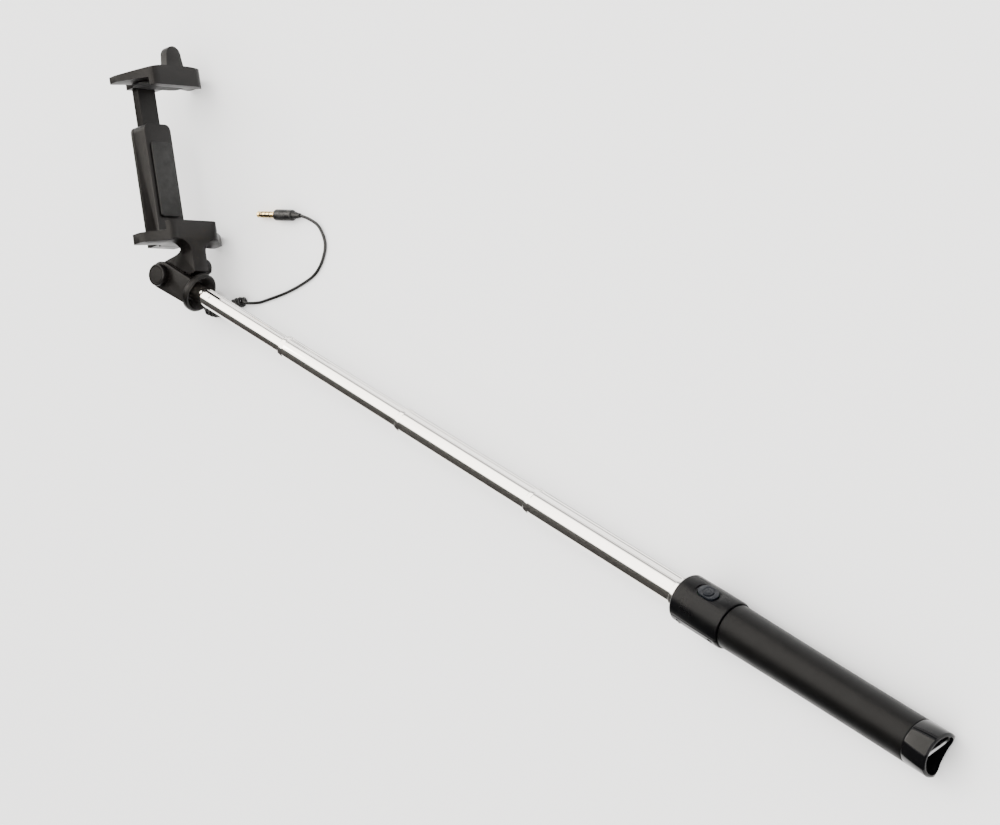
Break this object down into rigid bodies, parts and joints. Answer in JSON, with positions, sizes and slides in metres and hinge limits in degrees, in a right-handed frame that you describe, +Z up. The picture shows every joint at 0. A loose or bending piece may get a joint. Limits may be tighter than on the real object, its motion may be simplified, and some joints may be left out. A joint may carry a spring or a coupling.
{
  "type": "selfie stick",
  "caption": "Wired telescopic selfie stick with chrome tubes, a spring phone clamp on a tilt hinge, a handle with a shutter button and a curly jack cord.",
  "frame": {"origin": "middle of the bounding box's base without the cord, on the surface that the stick lies on", "axes": "+X along the stick from the head to the handle, +Z up from the surface, +Y to the side that the clamp's display side leans to"},
  "size_m": [0.6116, 0.1273, 0.0591],
  "materials": {
    "chrome_tube": "polished",
    "nylon": "matte",
    "black_core": "matte",
    "soft_grip": "soft-touch matte",
    "satin_black": "satin",
    "clamp_black": "fine satin",
    "gloss_black": "gloss",
    "button_black": "semi-gloss",
    "screw_steel": "plated",
    "board_green": "lacquered",
    "pad_rubber": "matte",
    "cord_rubber": "smooth matte",
    "plug_black": "satin",
    "jack_metal": "gold-plated"
  },
  "bodies": {
    "handle": {"tube_5": "chrome_tube", "handle_core": "black_core", "grip_sleeve": "soft_grip", "housing_top": "satin_black", "housing_bottom": "satin_black", "housing_screw_1": "screw_steel", "housing_screw_2": "screw_steel", "tactile_switch": "screw_steel", "switch_board": "board_green", "tail_cap": "gloss_black", "strap_bar": "screw_steel"},
    "button": {"shutter_button": "button_black"},
    "stage_4": {"tube_4": "chrome_tube", "guide_bush_4": "nylon"},
    "stage_3": {"tube_3": "chrome_tube", "guide_bush_3": "nylon"},
    "stage_2": {"tube_2": "chrome_tube", "guide_bush_2": "nylon"},
    "head": {"tube_1": "chrome_tube", "guide_bush_1": "nylon", "head_fork": "clamp_black", "hinge_bolt": "clamp_black", "hinge_washer": "screw_steel", "cord_gland": "cord_rubber", "cord_lead": "cord_rubber", "cord_curl": "cord_rubber", "cord_tail": "cord_rubber", "plug_relief": "cord_rubber", "plug_body": "plug_black", "jack_pin": "jack_metal"},
    "nut": {"wing_nut": "clamp_black"},
    "clamp": {"lower_jaw": "clamp_black", "plate_cover": "clamp_black", "cover_screw_1": "screw_steel", "cover_screw_2": "screw_steel", "lower_pad": "pad_rubber", "back_pad": "pad_rubber", "clamp_spring": "screw_steel"},
    "jaw": {"upper_jaw": "clamp_black", "upper_pad": "pad_rubber"}
  },
  "joints": [
    {"name": "button_press", "type": "slide", "parent": "handle", "child": "button", "axis": [-0.0171, -0.8612, -0.5079], "range_m": [0, 0.0003], "stiffness_N_per_m": 900},
    {"name": "stage_4_slide", "type": "slide", "parent": "handle", "child": "stage_4", "axis": [0.9994, 0, -0.0337], "range_m": [0, 0.097]},
    {"name": "stage_3_slide", "type": "slide", "parent": "stage_4", "child": "stage_3", "axis": [0.9994, 0, -0.0337], "range_m": [0, 0.091]},
    {"name": "stage_2_slide", "type": "slide", "parent": "stage_3", "child": "stage_2", "axis": [0.9994, 0, -0.0337], "range_m": [0, 0.087]},
    {"name": "head_slide", "type": "slide", "parent": "stage_2", "child": "head", "axis": [0.9994, 0, -0.0337], "range_m": [0, 0.064]},
    {"name": "clamp_tilt", "type": "hinge", "parent": "head", "child": "clamp", "pos_m": [-0.23969, -0.04786, 0.02986], "axis": [0.0337, 0.0254, 0.9991], "range_deg": [-1, 120]},
    {"name": "nut_turn", "type": "hinge", "parent": "head", "child": "nut", "pos_m": [-0.2401, -0.04816, 0.01787], "axis": [0.0337, 0.0254, 0.9991], "range_deg": [0, 360]},
    {"name": "jaw_slide", "type": "slide", "parent": "clamp", "child": "jaw", "axis": [-0.6022, 0.7984, 0], "range_m": [-0.019, 0.007], "stiffness_N_per_m": 180, "deforming": ["clamp_spring"]}
  ]
}
